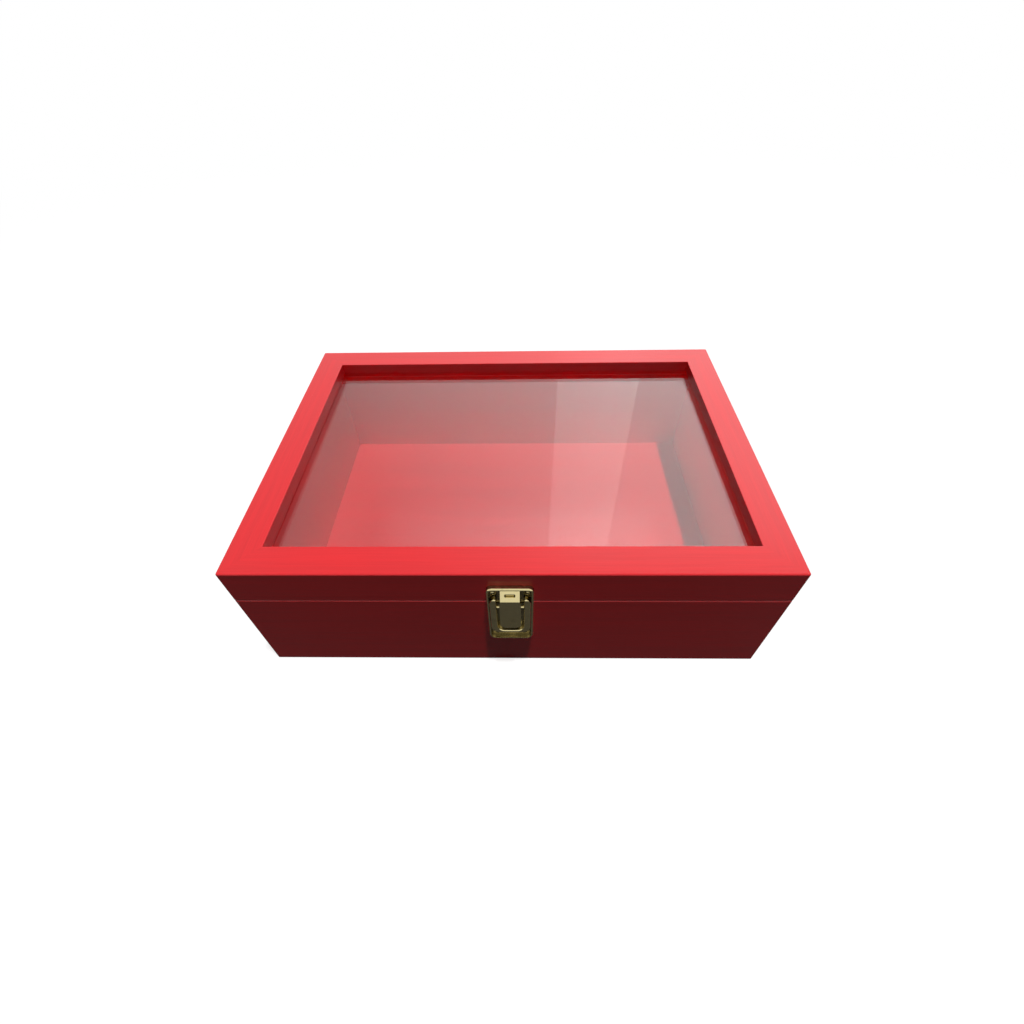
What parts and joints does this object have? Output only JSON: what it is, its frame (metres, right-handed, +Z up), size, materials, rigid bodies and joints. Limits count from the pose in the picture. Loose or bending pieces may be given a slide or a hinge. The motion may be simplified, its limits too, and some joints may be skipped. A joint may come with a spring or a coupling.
{
  "type": "hinged display box",
  "caption": "Shallow painted wooden box with a hinged lid, a clear pane in a mitred frame and a brass press latch at the front.",
  "frame": {"origin": "centre of the underside, on the surface the box stands on", "axes": "+X to the right along the long side, +Y to the back where the hinges are, +Z up"},
  "size_m": [0.315, 0.2309, 0.095],
  "materials": {
    "painted_wood": "semi-gloss red paint over close-grained wood",
    "painted_panel": "satin red paint on thin board",
    "clear_pane": "clear, polished",
    "brass_latch": "bright plated, polished",
    "brass_hinge": "bright plated",
    "brass_screws": "bright plated",
    "spring_steel": "drawn wire"
  },
  "bodies": {
    "base": {"base_back_board": "painted_wood", "base_front_board": "painted_wood", "base_left_board": "painted_wood", "base_right_board": "painted_wood", "bottom_panel": "painted_panel", "hinge_base_screws": "brass_screws", "hinge_left_base_leaf": "brass_hinge", "hinge_left_pin": "brass_hinge", "hinge_right_base_leaf": "brass_hinge", "hinge_right_pin": "brass_hinge", "latch_pin": "brass_latch", "latch_plate": "brass_latch", "latch_plate_screws": "brass_screws", "latch_spring": "spring_steel"},
    "lid": {"bead_back": "painted_wood", "bead_front": "painted_wood", "bead_left": "painted_wood", "bead_right": "painted_wood", "glass_pane": "clear_pane", "hinge_left_lid_leaf": "brass_hinge", "hinge_lid_screws": "brass_screws", "hinge_right_lid_leaf": "brass_hinge", "lid_back_board": "painted_wood", "lid_front_board": "painted_wood", "lid_left_board": "painted_wood", "lid_right_board": "painted_wood", "strike_plate": "brass_latch", "strike_plate_screws": "brass_screws", "top_back_rail": "painted_wood", "top_front_rail": "painted_wood", "top_left_rail": "painted_wood", "top_right_rail": "painted_wood"},
    "latch_lever": {"latch_lever": "brass_latch"}
  },
  "joints": [
    {"name": "lid_hinge", "type": "hinge", "parent": "base", "child": "lid", "pos_m": [0, 0.1095, 0.0698], "axis": [-1, 0, 0], "range_deg": [0, 95]},
    {"name": "latch_press", "type": "hinge", "parent": "base", "child": "latch_lever", "pos_m": [0, -0.115, 0.0675], "axis": [1, 0, 0], "range_deg": [0, 11], "stiffness_Nm_per_rad": 0.04, "springref_deg": -14.32, "deforming": ["latch_spring"]}
  ]
}
